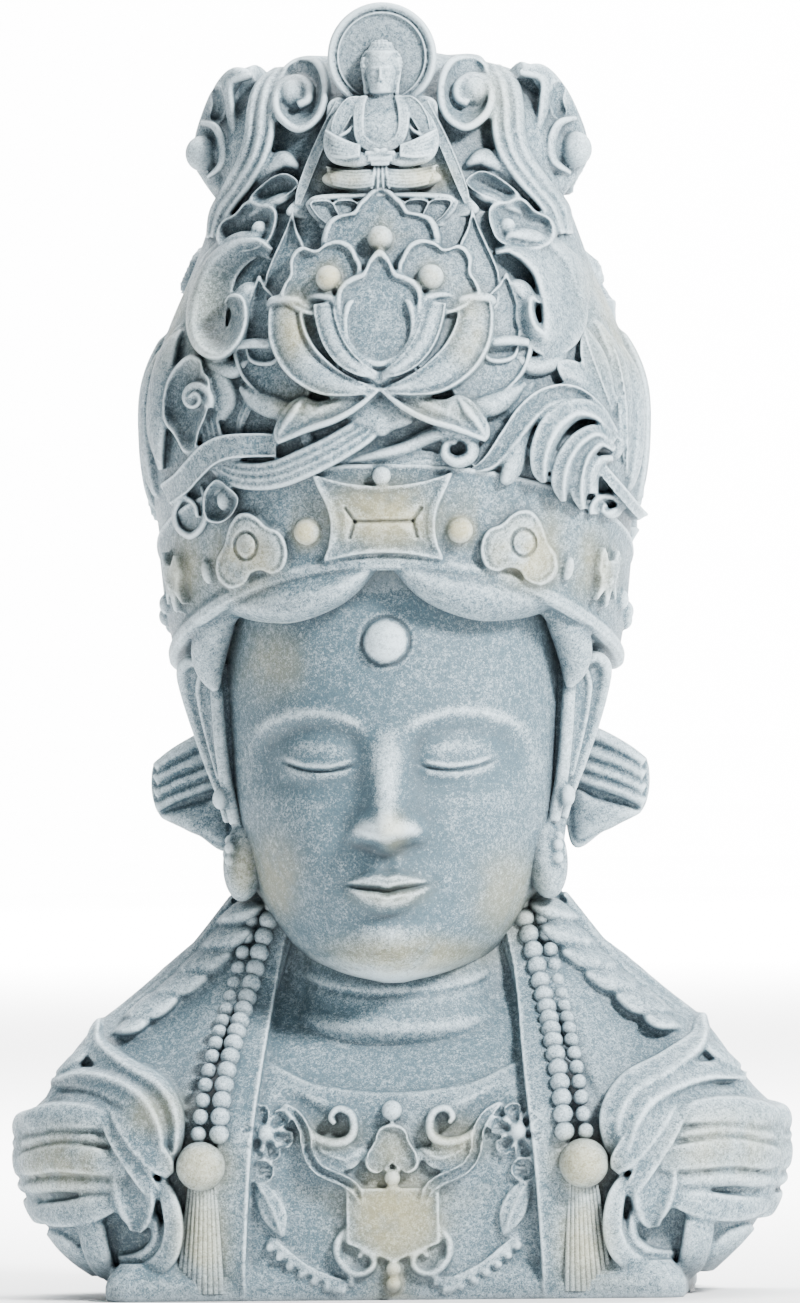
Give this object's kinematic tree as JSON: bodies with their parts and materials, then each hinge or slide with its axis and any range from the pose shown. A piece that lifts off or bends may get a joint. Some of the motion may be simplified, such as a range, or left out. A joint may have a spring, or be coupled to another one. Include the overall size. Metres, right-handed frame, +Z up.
{
  "type": "resin bodhisattva bust",
  "caption": "Head and shoulders of a crowned bodhisattva in a robe with bead strings and tassels, cast in resin with a flat underside.",
  "frame": {"origin": "centre of the plinth's flat underside", "axes": "+Z up, the face looks along -Y, +X is on the right of a viewer who faces it"},
  "size_m": [0.3611, 0.2493, 0.5999],
  "materials": {
    "painted_resin": "matt slate blue-grey paint, pale dry brushing on raised edges, dark hollows and ochre patches"
  },
  "bodies": {
    "root": {"bust": "painted_resin"}
  },
  "joints": []
}
